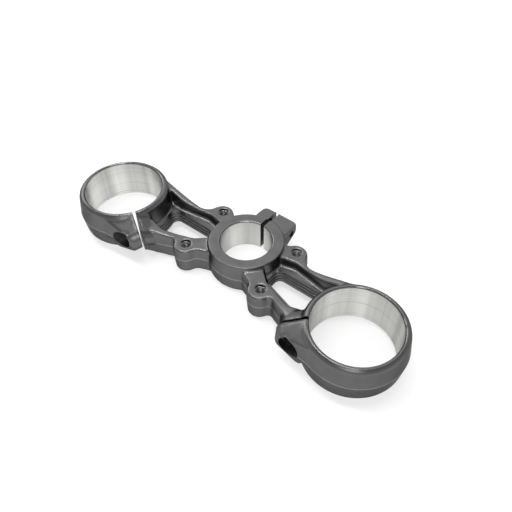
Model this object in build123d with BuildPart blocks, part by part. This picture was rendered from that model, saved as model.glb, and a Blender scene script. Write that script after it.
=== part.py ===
"""Upper triple clamp of an off-road motorcycle: one aluminium forging, machined at its bores.

Frame: the origin is on the steering stem axis, at the underside. +Z is up, +X is to one fork leg and
-Y is to the front. The fork legs stand ahead of the stem by the fork offset.
"""
import os
from math import atan2, cos, degrees, radians, sin, tan

from build123d import *

# Driving dimensions, in millimetres and degrees

# Layout of the three bores
fork_spacing = 192.0        # between the two fork leg axes
fork_offset = 19.3          # fork leg axes ahead of the stem axis
fork_bore = 54.0            # diameter that grips the fork leg
stem_bore = 35.0            # diameter that grips the steering stem
bore_chamfer = 0.9

# Heights above the underside of the hub
arm_bottom = 0.3
ring_bottom = 1.6
ring_top = 30.8
hub_top = 22.4
ear_top = 20.8
boss_top = 19.7             # seats of the four screw bosses
web_top = 11.1              # floor of the upper pockets at the stem axis, and its rise outward
web_slope = 4.0
web_bottom = 5.2            # roof of the lower pockets
ring_parting = 16.3         # forging line round the fork rings
arm_parting = 11.3          # forging line round the hub and the arms

# Fork rings and hub, wall thickness at the bore
ring_wall_top = 3.8
ring_wall_parting = 5.9
ring_wall_bottom = 4.2
hub_wall_top = 7.8
hub_wall_parting = 9.2
hub_wall_bottom = 8.3
ring_top_bevel = 1.8        # outer rims
ring_foot_bevel = 2.2
hub_bevel = 0.6

# Arms: a front and a rear rail with a pocketed web between them
rear_rail_back = 7.7        # back face of the rear rail, from the stem axis
rear_rail_front = 1.4       # its pocket face near the fork ring
rear_rail_blend = 10.0      # radius from the rear rail to the boss
front_rail_front = -23.5    # front face of the front rail at the screw bosses
front_rail_slope = 23.0     # the front rail runs outward and forward at this angle
front_rail_width = 7.4      # at the gusset
front_rail_blend = 2.5      # radius from the front rail to the boss
neck_front = -29.3          # front and rear edges of the neck at the screw bosses
neck_rear = 16.0
neck_slope = 20.5
neck_blend = 5.0            # radius from the neck to the boss
arm_rise_start = 39.0       # where the arm rises from the level of the boss seats
arm_knee_run = 28.0         # it turns steeper here, back from the fork leg axis
arm_knee_z = 25.8
arm_rim_step = 0.3          # the arm ends this far below the rim of the fork ring
arm_rim_slope = 19.0
arm_foot_run = 52.0         # the underside rises from here, back from the fork leg axis
arm_foot_step = 0.6         # it ends this far above the underside of the ring
arm_draft = 3.0             # forging draft of the arm walls
arm_edge_round = 1.4        # rounded upper edges, outside and round the pockets
ring_embed = 14.0           # the arm runs into the ring, to this far short of the fork leg axis

# Pockets of the arms, above and below the web
pocket_hub_end = 22.5
pocket_hub_rear = 2.6
pocket_boss_gap = 7.4       # from the boss axis to the pocket
pocket_neck_slope = 42.0
gusset_run = 42.5           # from the fork leg axis back to where the pocket leaves the front rail
gusset_slope = 5.0
bulge_x = 37.5              # the pocket is widest here, beside the rear boss
bulge_y = 5.6
rear_rail_run = 36.0        # length of the even part of the rear rail, from the fork leg axis
pocket_corner = 3.0
pocket_root = 2.0           # rounded foot of the pocket walls

# Windows in the webs, with stepped walls
window_hub_end = 28.0
window_rear = -0.9          # rear edge, and front edge at the hub end
window_front = -13.6
window_ring_gap = 6.8       # from the fork bore to the window
window_ledge = 3.0          # web left standing behind the front rail
window_step = 0.45          # each step of the wall narrows the window this much
window_step_height = 2.15
window_steps = 4
window_rear_corner = 5.5
window_front_corner = 2.4

# Screw bosses of the handlebar mounts
boss_pitch_x = 63.4
boss_pitch_y = 39.0
boss_centre_y = -5.6        # middle of the four bosses, from the stem axis
boss_radius = 8.4
boss_rear_lead = 1.5        # the bosses sit this far ahead of their screw holes
boss_front_lead = 0.8
boss_thread_drill = 6.8     # core of an M8 thread
boss_countersink = 0.6

# Fork pinch: slit, boss and screw
pinch_angle = 28.5          # slit direction, turned forward from the line between the forks
pinch_slit = 2.2
pinch_reach = 37.0          # screw axis from the fork leg axis
pinch_height = 17.3         # screw axis above the underside
pinch_boss_radius = 8.6     # nose of the boss outboard of the slit
pinch_boss_fall = 15.0      # both fall away from the slit at these angles
pinch_lug_radius = 7.7      # nose of the lug inboard of the slit
pinch_lug_fall = 16.0
pinch_lug_length = 9.5
pinch_ramp = 27.5           # slope from the noses up to the rim of the ring
pinch_ramp_sink = 0.15      # the ramp leaves the nose this far inside its round
pinch_edge_round = 1.5
pinch_foot_turn = 44.0      # foot of the boss: faces this far round from the slit,
pinch_foot_dip = 41.0       # this far down,
pinch_foot_wall = 1.3       # and leaves this wall under the mouth of the screw head bore
pinch_wall_angle = 56.0     # the boss walls run back to the ring, square to this angle from the slit
pinch_embed = 1.0           # the boss walls start this far inside the ring wall
pinch_seat = 6.5            # screw head seat, from the middle of the slit
pinch_head_bore = 12.2
pinch_clearance = 6.6
pinch_thread_drill = 5.0    # core of an M6 thread
pinch_thread_depth = 8.5

# Stem pinch ear at the back of the hub
ear_left = -11.3
ear_right = 17.5
ear_back = 35.8
ear_corner = 3.6
ear_edge_bevel = 0.7
ear_tip_thickness = 5.5
ear_slope = 30.0            # underside of the ear falls towards the hub at this angle
stem_slit = 3.0
stem_screw_back = 27.6      # stem pinch screw axis behind the stem axis
stem_screw_height = 16.5

# Derived places
fork_x = fork_spacing / 2
fork_y = -fork_offset
fork_radius = fork_bore / 2
stem_radius = stem_bore / 2
boss_x = boss_pitch_x / 2
boss_front_y = boss_centre_y - boss_pitch_y / 2
boss_rear_y = boss_centre_y + boss_pitch_y / 2
rail_fall = tan(radians(front_rail_slope))
plate_end = fork_x - ring_embed
knee_x = fork_x - arm_knee_run
gusset_x = fork_x - gusset_run
gusset_y = front_rail_front - (gusset_x - boss_x) * rail_fall + front_rail_width
arm_reach = plate_end - arm_edge_round    # the end wall inside the ring lies beyond this


def ring_profile(bore_radius, walls, heights, bevels):
    """Half section of a drafted ring, widest at its forging line, with bevelled rims."""
    wall_bottom, wall_parting, wall_top = walls
    bottom, parting, top = heights
    with BuildSketch(Plane.XZ, mode=Mode.PRIVATE) as profile:
        with BuildLine():
            Polyline(
                (0, bottom),
                (bore_radius + wall_bottom, bottom),
                (bore_radius + wall_parting, parting),
                (bore_radius + wall_top, top),
                (0, top),
                close=True,
            )
        make_face()
        chamfer(profile.vertices().sort_by_distance((bore_radius + wall_bottom, bottom))[0], bevels[0])
        chamfer(profile.vertices().sort_by_distance((bore_radius + wall_top, top))[0], bevels[1])
    return profile.sketch


def bore_profile(radius, bottom, top, lip):
    """Half section of a through bore with a chamfered lip at both ends."""
    with BuildSketch(Plane.XZ, mode=Mode.PRIVATE) as profile:
        with BuildLine():
            Polyline(
                (0, bottom - lip),
                (radius + 2 * lip, bottom - lip),
                (radius, bottom + lip),
                (radius, top - lip),
                (radius + 2 * lip, top + lip),
                (0, top + lip),
                close=True,
            )
        make_face()
    return profile.sketch


# Fork ring, drawn about its own axis
with BuildPart() as fork_ring:
    add(ring_profile(fork_radius, (ring_wall_bottom, ring_wall_parting, ring_wall_top),
                     (ring_bottom, ring_parting, ring_top), (ring_foot_bevel, ring_top_bevel)))
    revolve(axis=Axis.Z)

# Hub round the steering stem
with BuildPart() as hub:
    add(ring_profile(stem_radius, (hub_wall_bottom, hub_wall_parting, hub_wall_top),
                     (0, arm_parting, hub_top), (hub_bevel, hub_bevel)))
    revolve(axis=Axis.Z)

# Fork pinch: directions and planes
pinch_direction = Vector(-cos(radians(pinch_angle)), -sin(radians(pinch_angle)), 0)
screw_direction = Vector(-pinch_direction.Y, pinch_direction.X, 0)
fork_axis = Vector(fork_x, fork_y, 0)
pinch_point = fork_axis + pinch_direction * pinch_reach + Vector(0, 0, pinch_height)
screw_plane = Plane(origin=pinch_point, x_dir=pinch_direction, z_dir=screw_direction)
slit_plane = Plane(origin=fork_axis, x_dir=pinch_direction, z_dir=(0, 0, 1))
wall_cos = cos(radians(pinch_wall_angle))
wall_sin = sin(radians(pinch_wall_angle))


def pinch_section(radius):
    """Section of the pinch at the slit: a round nose, and a ramp from its crown to the rim of the ring."""
    crown = radius - pinch_ramp_sink
    crown_x = crown * sin(radians(pinch_ramp))
    crown_y = -crown * cos(radians(pinch_ramp))
    root_x = fork_radius * wall_cos - pinch_reach
    root_y = crown_y - (crown_x - root_x) * tan(radians(pinch_ramp))
    with BuildSketch(screw_plane, mode=Mode.PRIVATE) as section:
        Circle(radius)
        with BuildLine():
            Polyline((0, 0), (root_x, 0), (root_x, root_y), (crown_x, crown_y), close=True)
        make_face()
    return section.sketch


# Pinch bar: boss outboard of the slit and lug inboard of it, both falling away from the slit
boss_direction = screw_direction - Vector(0, 0, tan(radians(pinch_boss_fall)))
lug_direction = -screw_direction - Vector(0, 0, tan(radians(pinch_lug_fall)))
with BuildPart() as pinch_bar:
    extrude(pinch_section(pinch_boss_radius), amount=fork_bore, dir=boss_direction)
    extrude(pinch_section(pinch_lug_radius), amount=pinch_lug_length, dir=lug_direction)

# Pinch boss: the bar, cut off by the walls that run back to the ring
ring_draft_up = degrees(atan2(ring_wall_parting - ring_wall_top, ring_top - ring_parting))
ring_draft_down = degrees(atan2(ring_wall_parting - ring_wall_bottom, ring_parting - ring_bottom))
boss_wall = fork_radius + ring_wall_parting - pinch_embed
boss_tip = pinch_reach + pinch_boss_radius + pinch_embed
tip_half_width = (boss_wall - boss_tip * wall_cos) / wall_sin
mouth_run = (boss_wall - pinch_reach * wall_cos) / wall_sin
mouth_drop = Vector(0, 0, pinch_head_bore / 2 + pinch_foot_wall)
foot_point = pinch_point + screw_direction * mouth_run - mouth_drop
foot_turn = radians(pinch_foot_turn)
foot_dip = radians(pinch_foot_dip)
foot_heading = pinch_direction * cos(foot_turn) + screw_direction * sin(foot_turn)
foot_direction = foot_heading * cos(foot_dip) - Vector(0, 0, sin(foot_dip))
with BuildPart() as pinch_boss:
    with BuildSketch(slit_plane.offset(ring_parting)) as boss_outline:
        with BuildLine():
            Polyline(
                (0, 0),
                (boss_wall * wall_cos, -boss_wall * wall_sin),
                (boss_tip, -tip_half_width),
                (boss_tip, tip_half_width),
                (boss_wall * wall_cos, boss_wall * wall_sin),
                close=True,
            )
        make_face()
    extrude(amount=ring_top - arm_rim_step - ring_parting, taper=ring_draft_up)
    extrude(boss_outline.sketch, amount=ring_bottom - ring_parting, taper=ring_draft_down)
    add(pinch_bar, mode=Mode.INTERSECT)
    wall_direction = pinch_direction * wall_cos + screw_direction * wall_sin
    boss_walls = pinch_boss.faces().filter_by(lambda face: face.normal_at().dot(wall_direction) > 0.9)
    rims = [edge for edge in boss_walls.edges() if sum(edge in face.edges() for face in boss_walls) == 1]
    fillet([edge for edge in rims if edge.center().Z > ring_parting
            and (edge.center() - fork_axis).dot(pinch_direction) > fork_radius], pinch_edge_round)
    split(bisect_by=Plane(origin=foot_point, z_dir=foot_direction), keep=Keep.BOTTOM)

# Arm: drafted plate between the hub and the fork ring, with its screw bosses
neck_fall = tan(radians(neck_slope))
with BuildPart() as arm:
    with BuildSketch(Plane.XY.offset(arm_parting)) as plate_outline:
        with BuildLine():
            Polyline(
                (0, neck_front + boss_x * neck_fall),
                (boss_x, neck_front),
                (boss_x, front_rail_front),
                (plate_end, front_rail_front - (plate_end - boss_x) * rail_fall),
                (plate_end, rear_rail_back),
                (boss_x, rear_rail_back),
                (boss_x, neck_rear),
                (0, neck_rear),
                close=True,
            )
        make_face()
        with Locations((boss_x, boss_front_y - boss_front_lead), (boss_x, boss_rear_y - boss_rear_lead)):
            Circle(boss_radius)
        corners = plate_outline.vertices()
        fillet(corners.sort_by_distance((boss_x + boss_radius, rear_rail_back))[0], rear_rail_blend)
        corners = plate_outline.vertices()
        fillet(corners.sort_by_distance((boss_x - boss_radius, neck_rear))[0], neck_blend)
        corners = plate_outline.vertices()
        fillet(corners.sort_by_distance((boss_x + boss_radius, front_rail_front))[0], front_rail_blend)
        corners = plate_outline.vertices()
        fillet(corners.sort_by_distance((boss_x - boss_radius, neck_front))[0], neck_blend)
    extrude(amount=ring_top - arm_parting, taper=arm_draft)
    extrude(plate_outline.sketch, amount=-arm_parting, taper=arm_draft)
    # Side shape: level with the boss seats at the middle, rising to the rim of the ring
    with BuildSketch(Plane.XZ):
        with BuildLine():
            Polyline(
                (0, arm_bottom),
                (fork_x - arm_foot_run, arm_bottom),
                (fork_x - fork_radius, ring_bottom + arm_foot_step),
                (plate_end, ring_bottom + arm_foot_step),
                (plate_end, ring_top - arm_rim_step),
            )
            Spline(
                (arm_rise_start, boss_top),
                (knee_x, arm_knee_z),
                (plate_end, ring_top - arm_rim_step),
                tangents=((1, 0), (1, tan(radians(arm_rim_slope)))),
            )
            Polyline((arm_rise_start, boss_top), (0, boss_top), (0, arm_bottom))
        make_face()
    extrude(amount=fork_spacing, both=True, mode=Mode.INTERSECT)
    # Upper pocket with a sloping floor
    boss_pocket_y = boss_front_y + pocket_boss_gap
    pocket_neck_rise = (boss_x - pocket_hub_end) * tan(radians(pocket_neck_slope))
    web_rise = radians(web_slope)
    floor_plane = Plane((0, 0, web_top), x_dir=(cos(web_rise), 0, sin(web_rise)),
                        z_dir=(-sin(web_rise), 0, cos(web_rise)))
    with BuildSketch(floor_plane) as pocket_outline:
        with BuildLine():
            Polyline(
                (pocket_hub_end, boss_pocket_y + pocket_neck_rise),
                (boss_x, boss_pocket_y),
                (gusset_x, gusset_y),
                (fork_x, gusset_y + gusset_run * tan(radians(gusset_slope))),
                (fork_x, rear_rail_front),
                (fork_x - rear_rail_run, rear_rail_front),
                (bulge_x, bulge_y),
                (pocket_hub_end, pocket_hub_rear),
                close=True,
            )
        make_face()
        fillet(pocket_outline.vertices().sort_by_distance((gusset_x, gusset_y))[0], pocket_corner)
        fillet(pocket_outline.vertices().sort_by_distance((bulge_x, bulge_y))[0], 2 * pocket_corner)
        fillet(pocket_outline.vertices().sort_by_distance((boss_x, boss_pocket_y))[0], 2 * pocket_corner)
    extrude(amount=ring_top, taper=-arm_draft, mode=Mode.SUBTRACT)
    # Rounded upper edges, and rounded foot of the pocket wall
    tops = arm.faces().filter_by(lambda face: face.normal_at().Z > 0.7 and face.center().Z > ring_parting)
    rims = [edge for edge in tops.edges() if sum(edge in face.edges() for face in tops) == 1]
    fillet([edge for edge in rims if 0 < edge.center().X < arm_reach], arm_edge_round)
    floor = arm.faces().filter_by(floor_plane)[0]
    fillet([edge for edge in floor.edges() if edge.center().X < arm_reach], pocket_root)
    # Lower pocket, level
    with BuildSketch(Plane.XY.offset(web_bottom)):
        add(pocket_outline.sketch_local)
    extrude(amount=-web_bottom, taper=-arm_draft, mode=Mode.SUBTRACT)
    # Window with a stepped wall, narrower at each lower step
    with BuildSketch(mode=Mode.PRIVATE) as window:
        with BuildLine():
            Polyline(
                (window_hub_end, window_front),
                (gusset_x, gusset_y + window_ledge),
                (fork_x, gusset_y + window_ledge),
                (fork_x, window_rear),
                (window_hub_end, window_rear),
                close=True,
            )
        make_face()
        with Locations((fork_x, fork_y)):
            Circle(fork_radius + window_ring_gap, mode=Mode.SUBTRACT)
        rear_corners = window.vertices().sort_by(Axis.Y)[-2:]
        fillet(rear_corners, window_rear_corner)
        front_corners = window.vertices().sort_by(Axis.Y)[:3]
        fillet(front_corners, window_front_corner)
    for step in range(window_steps):
        narrowing = (window_steps - 1 - step) * window_step
        with BuildSketch(Plane.XY.offset(web_bottom + step * window_step_height if step else 0)):
            add(window.sketch)
            if narrowing:
                offset(amount=-narrowing, mode=Mode.REPLACE)
        extrude(amount=ring_top, mode=Mode.SUBTRACT)

# Ear behind the hub, drawn from the side
ear_fall = (ear_back - stem_radius) * tan(radians(ear_slope))
with BuildPart() as ear:
    with BuildSketch(Plane.YZ.offset(ear_left)):
        with BuildLine():
            Polyline(
                (stem_radius, ear_top),
                (ear_back, ear_top),
                (ear_back, ear_top - ear_tip_thickness),
                (stem_radius, ear_top - ear_tip_thickness - ear_fall),
                close=True,
            )
        make_face()
    extrude(amount=ear_right - ear_left)
    fillet(ear.edges().filter_by(Axis.Z).sort_by(Axis.Y)[-2:], ear_corner)
    ear_rim = ear.faces().sort_by(Axis.Z)[-1].edges()
    chamfer([edge for edge in ear_rim if edge.center().Y > stem_radius + ear_edge_bevel], ear_edge_bevel)

# Cutters of the bores and threaded holes; only the fork bores have a lip below as well
with BuildPart() as fork_bore_cut:
    add(bore_profile(fork_radius, ring_bottom, ring_top, bore_chamfer))
    revolve(axis=Axis.Z)
with BuildPart() as stem_bore_cut:
    add(bore_profile(stem_radius, -2 * bore_chamfer, hub_top, bore_chamfer))
    revolve(axis=Axis.Z)
with BuildPart() as boss_hole_cut:
    add(bore_profile(boss_thread_drill / 2, -2 * boss_countersink, boss_top, boss_countersink))
    revolve(axis=Axis.Z)

# One side of the clamp, with half of the hub
slit_length = boss_tip + pinch_slit
with BuildPart() as side:
    add(arm)
    add(hub)
    split(bisect_by=Plane.YZ, keep=Keep.TOP)
    add(pinch_boss)
    add(fork_ring.part.moved(Location(fork_axis)))
    add(fork_bore_cut.part.moved(Location(fork_axis)), mode=Mode.SUBTRACT)
    with Locations((boss_x, boss_front_y), (boss_x, boss_rear_y)):
        add(boss_hole_cut, mode=Mode.SUBTRACT)
    # Slit and screw hole of the fork pinch
    with BuildSketch(slit_plane):
        Rectangle(slit_length, pinch_slit, align=(Align.MIN, Align.CENTER))
    extrude(amount=ring_top + pinch_slit, mode=Mode.SUBTRACT)
    with BuildSketch(screw_plane):
        Circle(pinch_clearance / 2)
    extrude(amount=fork_bore, mode=Mode.SUBTRACT)
    with BuildSketch(screw_plane.offset(pinch_seat)):
        Circle(pinch_head_bore / 2)
    extrude(amount=fork_bore, mode=Mode.SUBTRACT)
    with BuildSketch(screw_plane):
        Circle(pinch_thread_drill / 2)
    extrude(amount=-pinch_thread_depth - pinch_slit / 2, mode=Mode.SUBTRACT)

# The whole clamp: both sides and the ear
with BuildPart() as triple_clamp:
    add(side)
    mirror(about=Plane.YZ)
    add(ear)
    # Stem bore, its slit and the cross hole of its screw
    add(stem_bore_cut, mode=Mode.SUBTRACT)
    with BuildSketch(Plane.XY):
        Rectangle(stem_slit, ear_back + ear_corner, align=(Align.CENTER, Align.MIN))
    extrude(amount=ring_top, mode=Mode.SUBTRACT)
    with BuildSketch(Plane.YZ):
        with Locations((stem_screw_back, stem_screw_height)):
            Circle(pinch_thread_drill / 2)
    extrude(amount=ear_right + stem_slit, mode=Mode.SUBTRACT)
    with BuildSketch(Plane.YZ):
        with Locations((stem_screw_back, stem_screw_height)):
            Circle(pinch_clearance / 2)
    extrude(amount=ear_left - stem_slit, mode=Mode.SUBTRACT)

triple_clamp.part.label = "triple_clamp"
os.makedirs("parts", exist_ok=True)
export_step(triple_clamp.part, "parts/triple_clamp.step")
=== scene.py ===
"""Looks of the triple clamp: grey anodised forging with bare machined bores, on a pale studio floor.

Everything is in metres, in the frame of the part: the origin is on the steering stem axis at the
underside, +Z is up, +X is to one fork leg and -Y is to the front.
"""
import math

import bmesh
import bpy
from mathutils import Matrix, Vector
from mathutils.bvhtree import BVHTree
from mathutils.kdtree import KDTree


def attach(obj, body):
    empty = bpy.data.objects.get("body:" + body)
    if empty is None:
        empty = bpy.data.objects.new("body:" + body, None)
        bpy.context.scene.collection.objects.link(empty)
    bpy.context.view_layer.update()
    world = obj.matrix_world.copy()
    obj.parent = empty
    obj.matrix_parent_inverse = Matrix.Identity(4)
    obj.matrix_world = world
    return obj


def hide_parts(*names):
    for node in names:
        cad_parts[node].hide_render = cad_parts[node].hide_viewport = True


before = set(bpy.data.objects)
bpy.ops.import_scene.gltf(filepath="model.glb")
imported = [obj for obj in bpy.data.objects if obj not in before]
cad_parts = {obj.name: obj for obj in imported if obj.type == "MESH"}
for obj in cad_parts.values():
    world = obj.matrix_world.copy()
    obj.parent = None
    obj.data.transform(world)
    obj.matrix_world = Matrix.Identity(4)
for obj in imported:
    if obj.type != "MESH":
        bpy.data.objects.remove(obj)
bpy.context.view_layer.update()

MM = 0.001
UP = Vector((0.0, 0.0, 1.0))
SIDEWAYS = Vector((1.0, 0.0, 0.0))

# Sizes of the part that the looks follow
FORK_X = 96.0 * MM
FORK_Y = -19.3 * MM
FORK_RADIUS = 27.0 * MM
RING_OUTER_RADIUS = 33.3 * MM
STEM_RADIUS = 17.5 * MM
BORE_CHAMFER = 0.9 * MM
HUB_FACE_HEIGHT = 21.7 * MM
HUB_FACE_RADIUS = 27.5 * MM
STEM_SLIT = 3.0 * MM
FORK_SLIT = 2.2 * MM

# Screw bosses, ear and pinch bosses; a hole's zone reaches just outside its wall
BOSS_X = 31.7 * MM
BOSS_CENTRE_Y = -5.6 * MM
BOSS_HALF_PITCH_Y = 19.5 * MM
BOSS_TOP = 19.7 * MM
BOSS_BOTTOM = 0.3 * MM
BOSS_HOLE_ZONE = 3.5 * MM
EAR_LEFT = -11.3 * MM
EAR_RIGHT = 17.5 * MM
EAR_SCREW_Y = 27.6 * MM
EAR_SCREW_Z = 16.5 * MM
EAR_HOLE_ZONE = 3.4 * MM
PINCH_TURN = math.radians(28.5)
PINCH_REACH = 37.0 * MM
PINCH_X = FORK_X - PINCH_REACH * math.cos(PINCH_TURN)
PINCH_Y = FORK_Y - PINCH_REACH * math.sin(PINCH_TURN)
PINCH_Z = 17.3 * MM
PINCH_HEAD_ZONE = 6.2 * MM
PINCH_HEAD_START = 3.0 * MM
PINCH_HEAD_END = 20.0 * MM
PINCH_SHANK_ZONE = 3.4 * MM
PINCH_SHANK_START = -9.7 * MM
PINCH_SHANK_END = 7.0 * MM

# Threads; the first two give core radius, pitch and depth, and the ridge is in shares of the pitch
BOSS_THREAD = (3.4 * MM, 1.25 * MM, 0.42 * MM)
EAR_THREAD = (2.5 * MM, 1.0 * MM, 0.35 * MM)
BOSS_THREAD_RUN_IN = 0.8 * MM
BOSS_THREAD_SHORT = 3.0 * MM
EAR_THREAD_RUN_IN = 0.3 * MM
EAR_THREAD_SHORT = 2.0 * MM
THREAD_OVERLAP = 0.02 * MM
THREAD_STEPS = 28
RIDGE_FEET = (0.02, 0.98)
RIDGE_CREST = (0.42, 0.58)

# Forging lines, with the strip of trimmed flash along them
RING_PARTING = 16.3 * MM
ARM_PARTING = 11.3 * MM
CREASE_ANGLE = math.radians(3)
STEEP_WALL = 0.35
ON_LINE = 0.02 * MM
SEAM_HALF_WIDTH = 0.45 * MM
SEAM_SLACK = 0.01 * MM
CUT_SNAP = 0.001 * MM
RIDGE_ZONE = 0.4 * SEAM_HALF_WIDTH
FLASH_HEIGHT = 0.12 * MM

# Line that the boring tool left in each fork bore
LINE_RIGHT = 16.8 * MM
LINE_LEFT = 4.8 * MM
LINE_HALF_WIDTH = 0.14 * MM
LINE_ZONE = FORK_X - 1.1 * FORK_RADIUS

# Web of the arms, with the stepped window in it
WEB_START = 26.0 * MM
WEB_END = 71.0 * MM
WEB_BOTTOM = 5.15 * MM
WEB_TOP = 11.1 * MM
WEB_RISE = math.tan(math.radians(4.0))
WINDOW_REAR = 0.6 * MM
WINDOW_FRONT = -15.0 * MM
WINDOW_SLOPE = math.tan(math.radians(23.0))
TOP_STEP = 1.0 * MM

# Rounding of the forged skin
MERGE_DISTANCE = 0.002 * MM
VOXEL = 0.6 * MM
ROUNDING_FACTOR = 0.5
ROUNDING_PASSES = 18
SKIN_MESH = 1.5 * MM
SKIN_SPLITS = 6
EDGE_REACH = 2.0 * MM
SLIT_REACH = 0.9 * MM
MOST_SHIFT = 1.8 * MM
TIP_SHIFT = 0.8 * MM
SHARP_ANGLE = math.radians(52)

# Share of a normal along an axis: at most on the wall of a hole, and at least on a flat face
ALONG_AXIS = 0.2
FLAT_FACE = 0.95
TOUCH = 0.05 * MM

# Finishes
GRAIN_LOW = 0.3
GRAIN_HIGH = 0.7
EDGE_BREAK = 0.18 * MM
EDGE_BREAK_SAMPLES = 6
DARK_RIM = (0.4, 0.4, 0.4, 1.0)
BARE_RIM = (0.45, 0.45, 0.45, 1.0)
SCORED_TONE = (0.36, 0.358, 0.35, 1.0)
# Shares of the bore's tone: fine turning rings, and streaks that are painted reflections
RING_SHARE = 0.26
PAINTED_STREAK_SHARE = 0.74

# Studio
FLOOR_HALF_SIZE = 3.0
FLOOR_DROP = 0.2 * MM
FLOOR_TONE = (0.42, 0.42, 0.42, 1.0)
FLOOR_GLOW = 0.62
SKY_LEVEL = 0.8
SKY_BANDS = ((0.56, 0.85), (0.68, 0.28), (0.80, 0.28), (0.92, 0.8))    # height and brightness
CAMERA_PLACE = Vector((163.09, -194.52, 284.39)) * MM
CAMERA_FORWARD = Vector((-0.41962, 0.52757, -0.73864)).normalized()
CAMERA_RIGHT = Vector((0.78516, 0.61928, -0.00373))
CAMERA_SENSOR = 36.0
CAMERA_LENS = 38.53
CAMERA_CLIP = 0.01


def slit_normal(hand):
    """Direction across the fork slit on one side, along its pinch screw and outwards."""
    return Vector((hand * math.sin(PINCH_TURN), -math.cos(PINCH_TURN), 0.0))


def screw_holes():
    """Each hole: a point on its axis, the direction, the zone's radius, its start and its end."""
    holes = [(Vector((0.0, EAR_SCREW_Y, EAR_SCREW_Z)), SIDEWAYS, EAR_HOLE_ZONE, EAR_LEFT, EAR_RIGHT)]
    for hand in (1.0, -1.0):
        screw = Vector((hand * PINCH_X, PINCH_Y, PINCH_Z))
        heading = slit_normal(hand)
        holes.append((screw, heading, PINCH_HEAD_ZONE, PINCH_HEAD_START, PINCH_HEAD_END))
        holes.append((screw, heading, PINCH_SHANK_ZONE, PINCH_SHANK_START, PINCH_SHANK_END))
        for shift in (-BOSS_HALF_PITCH_Y, BOSS_HALF_PITCH_Y):
            boss = Vector((hand * BOSS_X, BOSS_CENTRE_Y + shift, 0.0))
            holes.append((boss, UP, BOSS_HOLE_ZONE, 0.0, BOSS_TOP))
    return holes


SCREW_HOLES = screw_holes()


# Materials

def new_material(name):
    """A new node material, with its nodes, links and shader."""
    material = bpy.data.materials.new(name)
    material.use_nodes = True
    nodes = material.node_tree.nodes
    shader = next(node for node in nodes if node.type == "BSDF_PRINCIPLED")
    return material, nodes, material.node_tree.links, shader


def combine(nodes, links, operation, *values):
    """Result of one sum on sockets and plain numbers."""
    step = nodes.new("ShaderNodeMath")
    step.operation = operation
    for socket, value in zip(step.inputs, values):
        if isinstance(value, float):
            socket.default_value = value
        else:
            links.new(value, socket)
    return step.outputs[0]


def grain(nodes, links, scale, detail):
    """Noise on the part's own coordinates; scale is three numbers, one along each axis."""
    place = nodes.new("ShaderNodeTexCoord")
    spread = nodes.new("ShaderNodeMapping")
    spread.inputs["Scale"].default_value = scale
    noise = nodes.new("ShaderNodeTexNoise")
    noise.inputs["Scale"].default_value = 1.0
    noise.inputs["Detail"].default_value = detail
    links.new(place.outputs["Object"], spread.inputs["Vector"])
    links.new(spread.outputs["Vector"], noise.inputs["Vector"])
    return noise.outputs["Fac"]


def tone_between(nodes, links, value, dark, light):
    """Colour that runs from dark to light as the grain value rises."""
    ramp = nodes.new("ShaderNodeValToRGB")
    ramp.color_ramp.elements[0].position = GRAIN_LOW
    ramp.color_ramp.elements[0].color = (*dark, 1.0)
    ramp.color_ramp.elements[1].position = GRAIN_HIGH
    ramp.color_ramp.elements[1].color = (*light, 1.0)
    links.new(value, ramp.inputs["Fac"])
    return ramp.outputs["Color"]


def gloss_between(nodes, links, value, low, high):
    """Roughness that runs from low to high as the grain value rises."""
    span = nodes.new("ShaderNodeMapRange")
    span.inputs["From Min"].default_value = GRAIN_LOW
    span.inputs["From Max"].default_value = GRAIN_HIGH
    span.inputs["To Min"].default_value = low
    span.inputs["To Max"].default_value = high
    links.new(value, span.inputs["Value"])
    return span.outputs["Result"]


def worn_edges(nodes):
    """Shading normal with every sharp edge broken by a small round."""
    edge = nodes.new("ShaderNodeBevel")
    edge.samples = EDGE_BREAK_SAMPLES
    edge.inputs["Radius"].default_value = EDGE_BREAK
    return edge.outputs["Normal"]


def relief(nodes, links, value, strength, depth):
    """Shading normal with broken edges and the grain pressed into it."""
    bump = nodes.new("ShaderNodeBump")
    bump.inputs["Strength"].default_value = strength
    bump.inputs["Distance"].default_value = depth
    links.new(value, bump.inputs["Height"])
    links.new(worn_edges(nodes), bump.inputs["Normal"])
    return bump.outputs["Normal"]


def forged_grey():
    """Satin grey anodising over a shot-peened forging."""
    material, nodes, links, shader = new_material("forged_grey")
    peen = grain(nodes, links, (1800.0, 1800.0, 1800.0), 2.0)
    cloud = grain(nodes, links, (90.0, 90.0, 90.0), 3.0)
    tone = tone_between(nodes, links, cloud, (0.126, 0.126, 0.127), (0.147, 0.147, 0.147))
    links.new(tone, shader.inputs["Base Color"])
    links.new(gloss_between(nodes, links, cloud, 0.27, 0.34), shader.inputs["Roughness"])
    links.new(relief(nodes, links, peen, 0.36, 0.2 * MM), shader.inputs["Normal"])
    shader.inputs["Metallic"].default_value = 1.0
    shader.inputs["Specular Tint"].default_value = DARK_RIM
    return material


def flash_and_painted_highlight():
    """Trimmed flash along the forging line: coarser, with a lighter tone painted on as the highlight
    of its small round.
    """
    material, nodes, links, shader = new_material("flash_and_painted_highlight")
    torn = grain(nodes, links, (700.0, 700.0, 2500.0), 3.0)
    # The lighter tone is a painted highlight: the light that the flash's small round catches from the
    # top lamp.
    tone = tone_between(nodes, links, torn, (0.20, 0.20, 0.201), (0.34, 0.34, 0.341))
    links.new(tone, shader.inputs["Base Color"])
    links.new(relief(nodes, links, torn, 0.4, 0.2 * MM), shader.inputs["Normal"])
    shader.inputs["Metallic"].default_value = 0.9
    shader.inputs["Specular Tint"].default_value = DARK_RIM
    shader.inputs["Roughness"].default_value = 0.42
    return material


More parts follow.
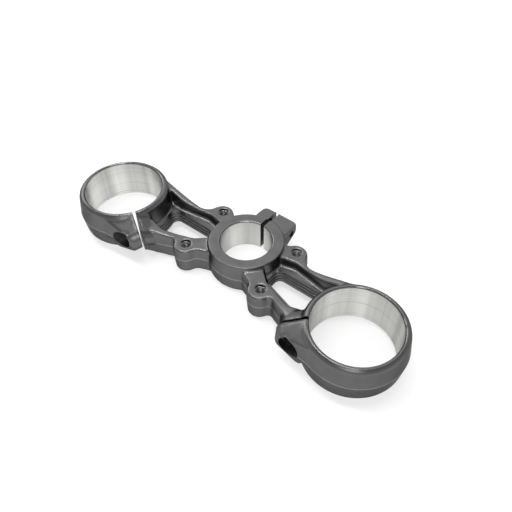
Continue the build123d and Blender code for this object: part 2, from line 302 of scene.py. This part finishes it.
def turning_line(nodes, links):
    """One on the fine line that the boring tool left in each fork bore, higher on the right."""
    place = nodes.new("ShaderNodeTexCoord")
    axes = nodes.new("ShaderNodeSeparateXYZ")
    links.new(place.outputs["Object"], axes.inputs["Vector"])
    height = nodes.new("ShaderNodeMapRange")
    height.inputs["From Min"].default_value = -FORK_X + FORK_RADIUS
    height.inputs["From Max"].default_value = FORK_X - FORK_RADIUS
    height.inputs["To Min"].default_value = LINE_LEFT
    height.inputs["To Max"].default_value = LINE_RIGHT
    links.new(axes.outputs["X"], height.inputs["Value"])
    near = combine(nodes, links, "COMPARE", axes.outputs["Z"], height.outputs["Result"],
                   LINE_HALF_WIDTH)
    reach = combine(nodes, links, "ABSOLUTE", axes.outputs["X"])
    outboard = combine(nodes, links, "GREATER_THAN", reach, LINE_ZONE)
    return combine(nodes, links, "MULTIPLY", near, outboard)


def bare_bore():
    """Bare aluminium bored on a lathe: fine rings along the bore, and soft light streaks down it that
    are painted reflections.
    """
    material, nodes, links, shader = new_material("bare_bore")
    rings = grain(nodes, links, (6.0, 6.0, 2600.0), 4.0)
    streaks = grain(nodes, links, (95.0, 95.0, 2.0), 3.0)
    # The streaks in the colour are painted reflections of the surroundings; the same noise also
    # varies the roughness.
    painted_streak_part = combine(nodes, links, "MULTIPLY", streaks, PAINTED_STREAK_SHARE)
    mixed = combine(nodes, links, "MULTIPLY_ADD", rings, RING_SHARE, painted_streak_part)
    tone = tone_between(nodes, links, mixed, (0.38, 0.378, 0.365), (0.88, 0.878, 0.854))
    scored = nodes.new("ShaderNodeMix")
    scored.data_type = "RGBA"
    scored.inputs["B"].default_value = SCORED_TONE
    links.new(tone, scored.inputs["A"])
    links.new(turning_line(nodes, links), scored.inputs["Factor"])
    links.new(scored.outputs["Result"], shader.inputs["Base Color"])
    links.new(gloss_between(nodes, links, streaks, 0.3, 0.42), shader.inputs["Roughness"])
    links.new(relief(nodes, links, rings, 0.12, 0.1 * MM), shader.inputs["Normal"])
    shader.inputs["Metallic"].default_value = 1.0
    shader.inputs["Specular Tint"].default_value = BARE_RIM
    return material


def cut_lip_painted_shade():
    """Chamfer cut with the bore: smoother than the bore, and painted darker as shade for the dark
    surroundings it mirrors.
    """
    material, nodes, links, shader = new_material("cut_lip_painted_shade")
    rings = grain(nodes, links, (6.0, 6.0, 3000.0), 2.0)
    # The dark tone is painted shade: the bare chamfer is given the darkness of what it mirrors.
    tone = tone_between(nodes, links, rings, (0.17, 0.17, 0.168), (0.22, 0.219, 0.216))
    links.new(tone, shader.inputs["Base Color"])
    links.new(worn_edges(nodes), shader.inputs["Normal"])
    shader.inputs["Metallic"].default_value = 1.0
    shader.inputs["Roughness"].default_value = 0.14
    shader.inputs["Specular Tint"].default_value = DARK_RIM
    return material


def drilled_hole_painted_shade():
    """Drilled and anodised wall of a screw hole: painted near black as the shade deep in the hole,
    dull and a little rough.
    """
    material, nodes, links, shader = new_material("drilled_hole_painted_shade")
    chatter = grain(nodes, links, (800.0, 800.0, 800.0), 2.0)
    # The near-black tone is painted shade, so that the hole reads dark.
    tone = tone_between(nodes, links, chatter, (0.022, 0.022, 0.022), (0.05, 0.05, 0.05))
    links.new(tone, shader.inputs["Base Color"])
    links.new(relief(nodes, links, chatter, 0.2, 0.1 * MM), shader.inputs["Normal"])
    shader.inputs["Metallic"].default_value = 0.6
    shader.inputs["Roughness"].default_value = 0.45
    shader.inputs["Specular Tint"].default_value = DARK_RIM
    return material


def cut_thread():
    """Cut thread, bare and bright."""
    material, nodes, links, shader = new_material("cut_thread")
    swarf = grain(nodes, links, (900.0, 900.0, 900.0), 2.0)
    tone = tone_between(nodes, links, swarf, (0.42, 0.42, 0.414), (0.62, 0.62, 0.61))
    links.new(tone, shader.inputs["Base Color"])
    shader.inputs["Metallic"].default_value = 1.0
    shader.inputs["Roughness"].default_value = 0.28
    return material


# The lip and hole-wall finishes carry painted shade, the flash finish a painted highlight and the
# bore painted reflection streaks.
FINISHES = (forged_grey(), bare_bore(), cut_lip_painted_shade(), flash_and_painted_highlight(), drilled_hole_painted_shade())
FORGED, BORED, LIP_PAINTED_SHADE, FLASH_PAINTED_HIGHLIGHT, DRILLED_PAINTED_SHADE = range(len(FINISHES))
THREAD = cut_thread()


# The forging: a merged copy of the solid, with its forged edges rounded and its machined faces kept

def from_fork_axis(point):
    """Distance from the axis of the nearer fork leg."""
    return math.hypot(abs(point.x) - FORK_X, point.y - FORK_Y)


def finish_of(centre, normal):
    """Slot of the finish on a face: bored walls and their lips, drilled holes, or the forged skin."""
    across_stem = math.hypot(centre.x, centre.y)
    for across, radius in ((from_fork_axis(centre), FORK_RADIUS), (across_stem, STEM_RADIUS)):
        if across < radius + TOUCH and abs(normal.z) < ALONG_AXIS:
            return BORED
        if across < radius + BORE_CHAMFER and ALONG_AXIS < abs(normal.z) < FLAT_FACE:
            return LIP_PAINTED_SHADE
    for point, direction, radius, start, end in SCREW_HOLES:
        along = (centre - point).dot(direction)
        across = (centre - point - direction * along).length
        if across < radius and start < along < end and abs(normal.dot(direction)) < ALONG_AXIS:
            return DRILLED_PAINTED_SHADE
    return FORGED


def in_slit(point):
    """True on the walls of the three saw cuts."""
    from_fork = Vector((abs(point.x) - FORK_X, point.y - FORK_Y, 0.0))
    if abs(from_fork.dot(slit_normal(1.0))) < FORK_SLIT / 2 + TOUCH and from_fork.x < 0.0:
        return True
    return abs(point.x) < STEM_SLIT / 2 + TOUCH and point.y > 0.0


def is_machined(face):
    """True on what stays crisp: bores, holes, lips, slits, the hub's face and the window steps."""
    centre = face.calc_center_median()
    if face.material_index in (BORED, LIP_PAINTED_SHADE, DRILLED_PAINTED_SHADE) or in_slit(centre):
        return True
    if centre.z > HUB_FACE_HEIGHT and math.hypot(centre.x, centre.y) < HUB_FACE_RADIUS:
        return True
    reach = abs(centre.x)
    window_front = WINDOW_FRONT - max(0.0, reach - BOSS_X) * WINDOW_SLOPE
    return (WEB_START < reach < WEB_END and window_front < centre.y < WINDOW_REAR
            and WEB_BOTTOM < centre.z < WEB_TOP + WEB_RISE * reach - TOP_STEP)


def is_forging_line(edge, line):
    """True on the crease of the outer walls, at this height, where the two forging dies met."""
    if len(edge.link_faces) != 2 or edge.calc_face_angle(0.0) < CREASE_ANGLE:
        return False
    if any(abs(face.normal.z) > STEEP_WALL for face in edge.link_faces):
        return False
    middle = (edge.verts[0].co + edge.verts[1].co) / 2
    on_ring = from_fork_axis(middle) < RING_OUTER_RADIUS
    if line != (RING_PARTING if on_ring else ARM_PARTING):
        return False
    return all(abs(vert.co.z - line) < ON_LINE for vert in edge.verts)


def split_to_triangles(body):
    """Split every face that a cut left with more than three corners."""
    bmesh.ops.triangulate(body, faces=[face for face in body.faces if len(face.verts) > 3])


def cut_forging_lines(body):
    """Cut a narrow strip along the forging lines, for the trimmed flash."""
    for line in (RING_PARTING, ARM_PARTING):
        beside = {face for edge in body.edges if is_forging_line(edge, line)
                  for vert in edge.verts for face in vert.link_faces
                  if abs(face.normal.z) < STEEP_WALL and not is_machined(face)}
        walls = [face for face in body.faces if face in beside]
        for height in (line - SEAM_HALF_WIDTH, line + SEAM_HALF_WIDTH):
            chosen = set(walls)
            edges = [edge for edge in body.edges if any(face in chosen for face in edge.link_faces)]
            verts = [vert for vert in body.verts if any(face in chosen for face in vert.link_faces)]
            cut = bmesh.ops.bisect_plane(body, geom=walls + edges + verts, dist=CUT_SNAP,
                                         plane_co=(0.0, 0.0, height), plane_no=UP)
            walls = [item for item in cut["geom"] if isinstance(item, bmesh.types.BMFace)]
        for face in walls:
            if all(abs(vert.co.z - line) < SEAM_HALF_WIDTH + SEAM_SLACK for vert in face.verts):
                face.material_index = FLASH_PAINTED_HIGHLIGHT
    split_to_triangles(body)
    body.normal_update()


def raise_forging_lines(body):
    """Lift the middle of each strip into a low ridge."""
    for vert in body.verts:
        strip = [face for face in vert.link_faces if face.material_index == FLASH_PAINTED_HIGHLIGHT]
        off_line = min(abs(vert.co.z - RING_PARTING), abs(vert.co.z - ARM_PARTING))
        if len(strip) > 1 and off_line < RIDGE_ZONE:
            vert.co += Vector((vert.normal.x, vert.normal.y, 0.0)) * FLASH_HEIGHT
    body.normal_update()


def rounded_form(body):
    """Search tree of the same form with all its edges rounded, as a forging comes out of its die."""
    mesh = bpy.data.meshes.new("rounding_blank")
    body.to_mesh(mesh)
    blank = bpy.data.objects.new("rounding_blank", mesh)
    bpy.context.collection.objects.link(blank)
    cells = blank.modifiers.new("cells", "REMESH")
    cells.mode = "VOXEL"
    cells.voxel_size = VOXEL
    flow = blank.modifiers.new("flow", "SMOOTH")
    flow.factor = ROUNDING_FACTOR
    flow.iterations = ROUNDING_PASSES
    tree = BVHTree.FromObject(blank, bpy.context.evaluated_depsgraph_get())
    bpy.data.objects.remove(blank)
    bpy.data.meshes.remove(mesh)
    return tree


def is_slit_tip(vert, tree):
    """True where the skin comes to a thin tip beside a fork slit, far outside the rounded form."""
    return (abs(vert.co.x) > BOSS_X and in_slit(vert.co)
            and all(face.material_index in (FORGED, FLASH_PAINTED_HIGHLIGHT) for face in vert.link_faces)
            and tree.find_nearest(vert.co)[3] > TIP_SHIFT)


def refine_skin(body, machined):
    """Split the long edges of the forged skin, so that it has points to round."""
    for _ in range(SKIN_SPLITS):
        long_edges = [edge for edge in body.edges if edge.calc_length() > SKIN_MESH
                      and any(not face[machined] for face in edge.link_faces)]
        if not long_edges:
            break
        bmesh.ops.subdivide_edges(body, edges=long_edges, cuts=1)
        split_to_triangles(body)


def eased(share):
    """A share from nought to one that starts and ends gently."""
    return share * share * (3.0 - 2.0 * share)


def round_skin(body):
    """Round the edges of the forged skin and leave the machined faces as they are."""
    tree = rounded_form(body)
    machined = body.faces.layers.int.new("machined")
    for face in body.faces:
        face[machined] = is_machined(face)
    refine_skin(body, machined)
    tips = {vert for vert in body.verts if is_slit_tip(vert, tree)}
    kept = [vert for vert in body.verts
            if vert not in tips and any(face[machined] for face in vert.link_faces)]
    near_kept = KDTree(len(kept))
    for index, vert in enumerate(kept):
        near_kept.insert(vert.co, index)
    near_kept.balance()
    kept = set(kept)
    for vert in body.verts:
        if vert in kept:
            continue
        place, _, _, shift = tree.find_nearest(vert.co)
        if vert in tips:
            across = slit_normal(math.copysign(1.0, vert.co.x))
            vert.co += (place - vert.co) - across * (place - vert.co).dot(across)
        elif shift < MOST_SHIFT:
            kept_place, _, distance = near_kept.find(vert.co)
            share = min(1.0, distance / (SLIT_REACH if in_slit(kept_place) else EDGE_REACH))
            vert.co = vert.co.lerp(place, eased(share))
    body.faces.layers.int.remove(machined)
    body.normal_update()


def new_piece(name, body, finishes):
    """The finished mesh as a piece that rides with the part."""
    mesh = bpy.data.meshes.new(name)
    body.to_mesh(mesh)
    body.free()
    for finish in finishes:
        mesh.materials.append(finish)
    piece = bpy.data.objects.new(name, mesh)
    bpy.context.collection.objects.link(piece)
    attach(piece, "root")
    return piece


def merged_forging(node):
    """The solid as one merged mesh with its finishes, rounded edges and forging lines."""
    body = bmesh.new()
    body.from_mesh(node.data)
    bmesh.ops.remove_doubles(body, verts=body.verts, dist=MERGE_DISTANCE)
    body.normal_update()
    for face in body.faces:
        face.smooth = True
        face.material_index = finish_of(face.calc_center_median(), face.normal)
    cut_forging_lines(body)
    round_skin(body)
    raise_forging_lines(body)
    for edge in body.edges:
        edge.smooth = len(edge.link_faces) == 2 and edge.calc_face_angle(0.0) < SHARP_ANGLE
    piece = new_piece("forging", body, FINISHES)
    weighted = piece.modifiers.new("even_faces", "WEIGHTED_NORMAL")
    weighted.keep_sharp = True
    return piece


forging = merged_forging(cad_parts["triple_clamp"])
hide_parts("triple_clamp")


# Threads of the screw holes

def thread(name, start, direction, length, sizes):
    """A screw thread along a hole: a closed ridge wound up the wall, cut off square at its ends."""
    core_radius, pitch, depth = sizes
    turns = length / pitch
    ridge = bmesh.new()
    foot = core_radius + THREAD_OVERLAP
    crest = core_radius - depth
    corners = ((foot, RIDGE_FEET[0]), (crest, RIDGE_CREST[0]),
               (crest, RIDGE_CREST[1]), (foot, RIDGE_FEET[1]))
    profile = [ridge.verts.new((radius, 0.0, share * pitch)) for radius, share in corners]
    edges = [ridge.edges.new(pair) for pair in zip(profile, profile[1:] + profile[:1])]
    bmesh.ops.spin(
        ridge, geom=profile + edges, cent=(0.0, 0.0, 0.0), axis=UP,
        dvec=(0.0, 0.0, pitch / THREAD_STEPS), angle=2.0 * math.pi * turns,
        steps=int(round(turns * THREAD_STEPS)))
    turn = UP.rotation_difference(direction).to_matrix().to_4x4()
    bmesh.ops.transform(ridge, matrix=Matrix.Translation(start) @ turn, verts=ridge.verts)
    open_ends = [edge for edge in ridge.edges if edge.is_boundary]
    bmesh.ops.holes_fill(ridge, edges=open_ends, sides=len(corners))
    bmesh.ops.recalc_face_normals(ridge, faces=ridge.faces)
    for face in ridge.faces:
        face.smooth = True
    new_piece(name, ridge, (THREAD,))


for side, hand in (("right", 1.0), ("left", -1.0)):
    for end, shift in (("front", -BOSS_HALF_PITCH_Y), ("rear", BOSS_HALF_PITCH_Y)):
        thread("boss_thread_" + end + "_" + side,
               Vector((hand * BOSS_X, BOSS_CENTRE_Y + shift, BOSS_BOTTOM + BOSS_THREAD_RUN_IN)), UP,
               BOSS_TOP - BOSS_BOTTOM - BOSS_THREAD_SHORT, BOSS_THREAD)
thread("ear_thread", Vector((STEM_SLIT / 2 + EAR_THREAD_RUN_IN, EAR_SCREW_Y, EAR_SCREW_Z)), SIDEWAYS,
       EAR_RIGHT - STEM_SLIT / 2 - EAR_THREAD_SHORT, EAR_THREAD)


# Studio: pale floor, soft light, camera at the photograph's angle

def backdrop_seen(nodes, links):
    """One where the floor is seen, directly, mirrored or through glass; nought where it lights."""
    path = nodes.new("ShaderNodeLightPath").outputs
    seen = combine(nodes, links, "MAXIMUM", path["Is Camera Ray"], path["Is Glossy Ray"])
    return combine(nodes, links, "MAXIMUM", seen, path["Is Transmission Ray"])


def pale_floor():
    """White floor that keeps a soft shadow."""
    material, nodes, links, shader = new_material("pale_floor")
    shader.inputs["Base Color"].default_value = FLOOR_TONE
    shader.inputs["Roughness"].default_value = 0.9
    glow = nodes.new("ShaderNodeEmission")
    glow.inputs["Color"].default_value = (1.0, 1.0, 1.0, 1.0)
    level = combine(nodes, links, "MULTIPLY", backdrop_seen(nodes, links), FLOOR_GLOW)
    links.new(level, glow.inputs["Strength"])
    both = nodes.new("ShaderNodeAddShader")
    links.new(shader.outputs[0], both.inputs[0])
    links.new(glow.outputs[0], both.inputs[1])
    output = next(node for node in nodes if node.type == "OUTPUT_MATERIAL")
    links.new(both.outputs[0], output.inputs["Surface"])
    return material


def lay_floor():
    """A flat floor just under the part."""
    sheet = bmesh.new()
    bmesh.ops.create_grid(sheet, x_segments=1, y_segments=1, size=FLOOR_HALF_SIZE)
    mesh = bpy.data.meshes.new("floor")
    sheet.to_mesh(mesh)
    sheet.free()
    mesh.materials.append(pale_floor())
    floor = bpy.data.objects.new("floor", mesh)
    floor.location.z = -FLOOR_DROP
    bpy.context.collection.objects.link(floor)


def soft_box(name, place, width, height, power):
    """A square-cornered studio light that faces the part."""
    lamp = bpy.data.lights.new(name, "AREA")
    lamp.shape = "RECTANGLE"
    lamp.size = width
    lamp.size_y = height
    lamp.energy = power
    box = bpy.data.objects.new(name, lamp)
    box.location = place
    box.rotation_euler = (-Vector(place)).to_track_quat("-Z", "Y").to_euler()
    bpy.context.collection.objects.link(box)


def studio_sky():
    """Surroundings that the metal mirrors, in level bands of brightness."""
    world = bpy.data.worlds.new("studio")
    world.use_nodes = True
    nodes = world.node_tree.nodes
    links = world.node_tree.links
    place = nodes.new("ShaderNodeTexCoord")
    axes = nodes.new("ShaderNodeSeparateXYZ")
    links.new(place.outputs["Generated"], axes.inputs["Vector"])
    tone = nodes.new("ShaderNodeValToRGB")
    stops = tone.color_ramp.elements
    stops[0].position, stops[1].position = SKY_BANDS[0][0], SKY_BANDS[1][0]
    for height, _ in SKY_BANDS[2:]:
        stops.new(height)
    for stop, (_, level) in zip(stops, SKY_BANDS):
        stop.color = (level, level, level, 1.0)
    links.new(axes.outputs["Z"], tone.inputs["Fac"])
    sky = nodes["Background"]
    links.new(tone.outputs["Color"], sky.inputs["Color"])
    sky.inputs["Strength"].default_value = SKY_LEVEL
    return world


def photo_camera():
    """Camera at the photograph's place and angle."""
    lens = bpy.data.cameras.new("camera")
    lens.sensor_width = CAMERA_SENSOR
    lens.lens = CAMERA_LENS
    lens.clip_start = CAMERA_CLIP
    camera = bpy.data.objects.new("camera", lens)
    bpy.context.collection.objects.link(camera)
    right = (CAMERA_RIGHT - CAMERA_FORWARD * CAMERA_RIGHT.dot(CAMERA_FORWARD)).normalized()
    up = right.cross(CAMERA_FORWARD)
    turn = Matrix((right, up, -CAMERA_FORWARD)).transposed().to_4x4()
    camera.matrix_world = Matrix.Translation(CAMERA_PLACE) @ turn
    return camera


lay_floor()
soft_box("top_strip", place=(-0.15, -0.05, 0.9), width=0.12, height=0.7, power=3.8)
soft_box("front_panel", place=(0.43, -0.60, 0.72), width=0.25, height=0.5, power=1.8)
soft_box("rear_panel", place=(-0.52, 0.66, 0.87), width=2.0, height=1.2, power=6.4)
soft_box("side_panel", place=(-1.05, 0.15, 0.52), width=0.8, height=0.5, power=3.0)
scene = bpy.context.scene
scene.world = studio_sky()
scene.view_settings.view_transform = "Standard"
scene.camera = photo_camera()
